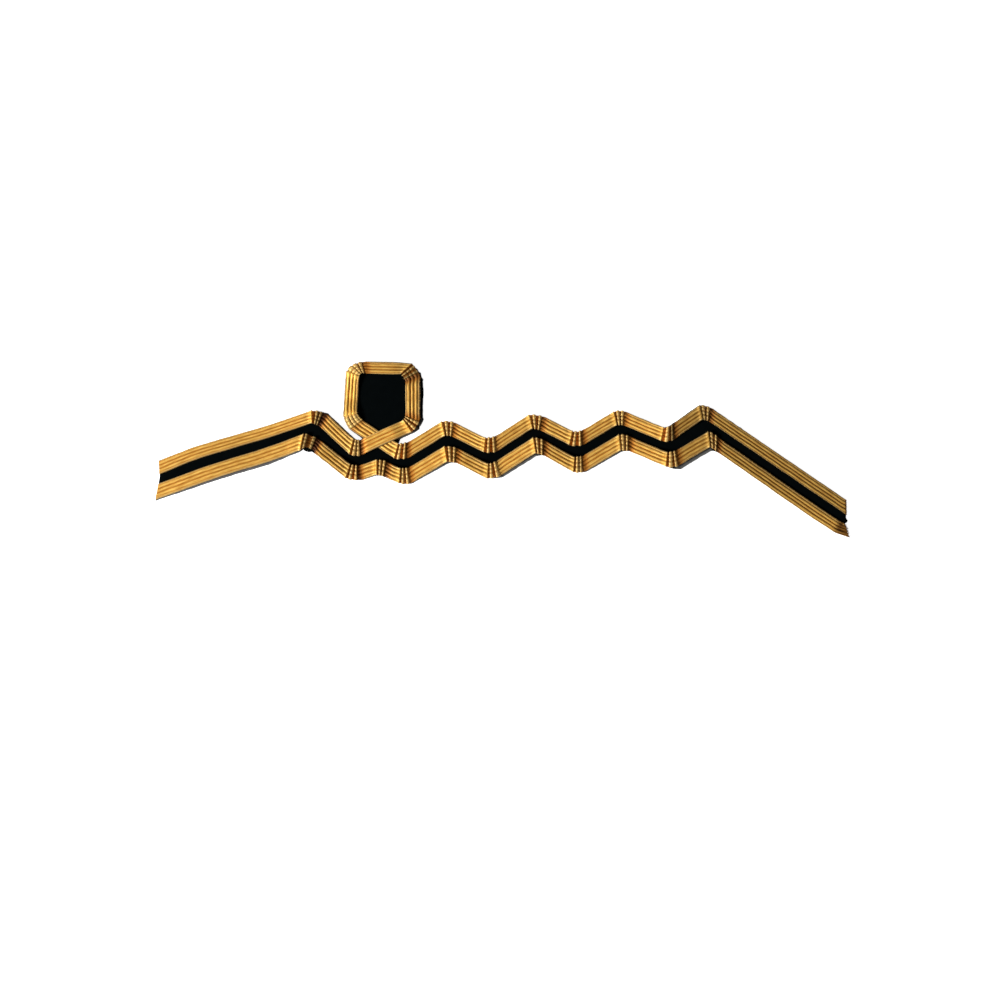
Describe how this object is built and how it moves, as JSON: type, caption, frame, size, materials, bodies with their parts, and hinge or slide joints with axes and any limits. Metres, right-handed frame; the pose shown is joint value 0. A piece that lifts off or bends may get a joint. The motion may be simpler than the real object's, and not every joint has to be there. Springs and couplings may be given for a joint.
{
  "type": "cuff rank lace",
  "caption": "Flat strip of black cloth with gold laces sewn along it in a zigzag, the upper lace crossing over itself into a five-sided loop, worn round a sleeve cuff as a sign of rank.",
  "frame": {"origin": "middle of the strip's bounding box, on the underside of the cloth", "axes": "+X along the strip from its left end to its right end as it is looked at, +Y toward the top of the loop, +Z out of the gold lace's face"},
  "size_m": [0.3121, 0.0793, 0.0039],
  "materials": {
    "black_cloth": "matt milled wool cloth",
    "upper_gold_lace": "woven gold thread, satin",
    "lower_gold_lace": "woven gold thread, satin"
  },
  "bodies": {
    "root": {"ground_cloth": "black_cloth", "upper_lace": "upper_gold_lace", "lower_lace": "lower_gold_lace"}
  },
  "joints": []
}
